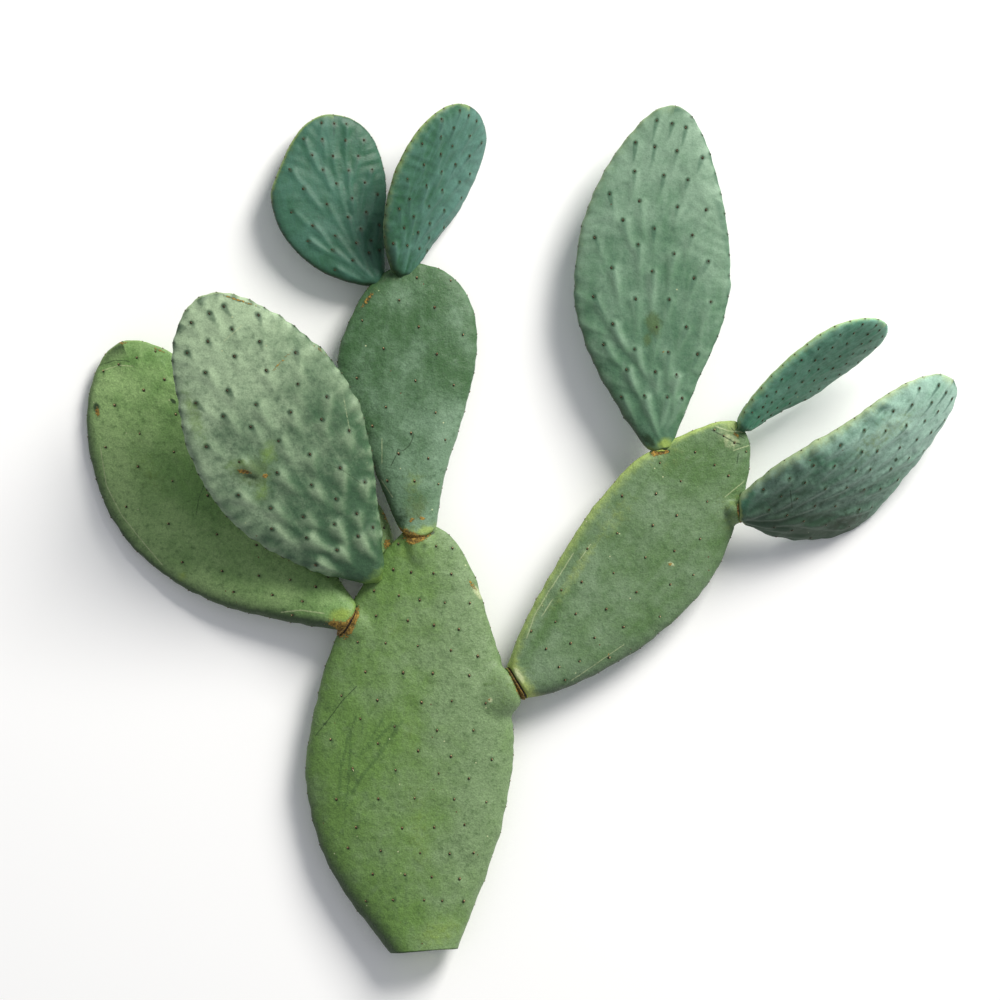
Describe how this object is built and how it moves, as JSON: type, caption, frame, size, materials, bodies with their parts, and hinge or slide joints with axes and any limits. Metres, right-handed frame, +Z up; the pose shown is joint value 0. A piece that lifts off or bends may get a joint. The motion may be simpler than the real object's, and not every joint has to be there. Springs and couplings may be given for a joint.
{
  "type": "branched prickly pear cactus stem with flat pads",
  "caption": "Cut branch of a nearly spineless prickly pear lying on its back: a broad old pad carries younger flat pads on corky joints, with raised areoles in slanting rows.",
  "frame": {"origin": "on the surface that the branch lies on, under the middle of its outline seen from above", "axes": "+Z up from the surface, +X across the branch towards the right-hand pads, +Y from the cut foot towards the young pads"},
  "size_m": [0.8695, 0.8485, 0.1517],
  "materials": {
    "old_skin": "waxy green skin of the oldest pads, satin, with corky scars",
    "grown_skin": "waxy grey-green skin of grown pads, satin",
    "waxy_skin": "pale green skin with a thick wax bloom and raised areoles",
    "young_skin": "blue-green skin of young pads, satin, with raised areoles",
    "cork": "rough tan cork at the joints"
  },
  "bodies": {
    "root": {"trunk_pad": "old_skin", "left_back_collar": "cork", "left_back_pad": "old_skin", "left_front_pad": "waxy_skin", "rear_small_pad": "young_skin", "mid_upper_collar": "cork", "mid_upper_pad": "grown_skin", "top_left_pad": "young_skin", "top_right_pad": "young_skin", "right_collar": "cork", "right_pad": "grown_skin", "tall_collar": "cork", "tall_pad": "waxy_skin", "right_small_pad": "young_skin", "right_lower_collar": "cork", "right_lower_pad": "young_skin"}
  },
  "joints": []
}
